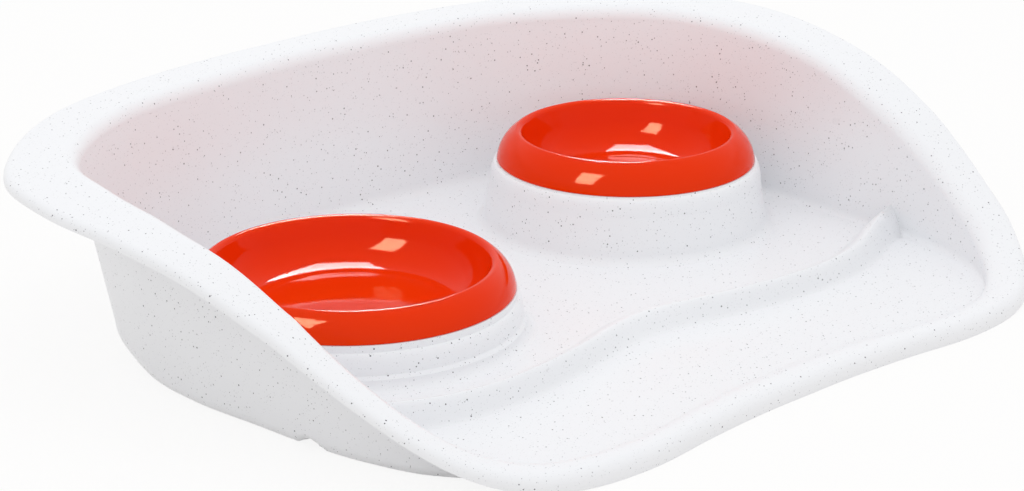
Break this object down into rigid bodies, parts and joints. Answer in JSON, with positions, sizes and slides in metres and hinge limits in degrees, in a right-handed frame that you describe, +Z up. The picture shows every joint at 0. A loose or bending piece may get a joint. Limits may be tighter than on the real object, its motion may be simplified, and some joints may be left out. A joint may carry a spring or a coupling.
{
  "type": "double pet bowl",
  "caption": "Feeding station for pets: a speckled tray with a high back wall, a drip ridge and a low front apron, holding loose bowls with rolled rims on raised seats.",
  "frame": {"origin": "on the table, under the middle of the tray's outline", "axes": "+X along the row of bowls, from the large bowl to the small one; +Y from the front apron to the high back wall; +Z up"},
  "size_m": [0.434, 0.3348, 0.082],
  "materials": {
    "speckled_plastic": "semi-gloss, cool white with fine dark grey specks",
    "bowl_plastic": "high gloss orange-red"
  },
  "bodies": {
    "tray": {"tray": "speckled_plastic"},
    "large_bowl": {"large_bowl": "bowl_plastic"},
    "small_bowl": {"small_bowl": "bowl_plastic"}
  },
  "joints": [
    {"name": "large_bowl_lift", "type": "slide", "parent": "tray", "child": "large_bowl", "axis": [0, 0, 1], "range_m": [0, 0.08]},
    {"name": "small_bowl_lift", "type": "slide", "parent": "tray", "child": "small_bowl", "axis": [0, 0, 1], "range_m": [0, 0.08]}
  ]
}
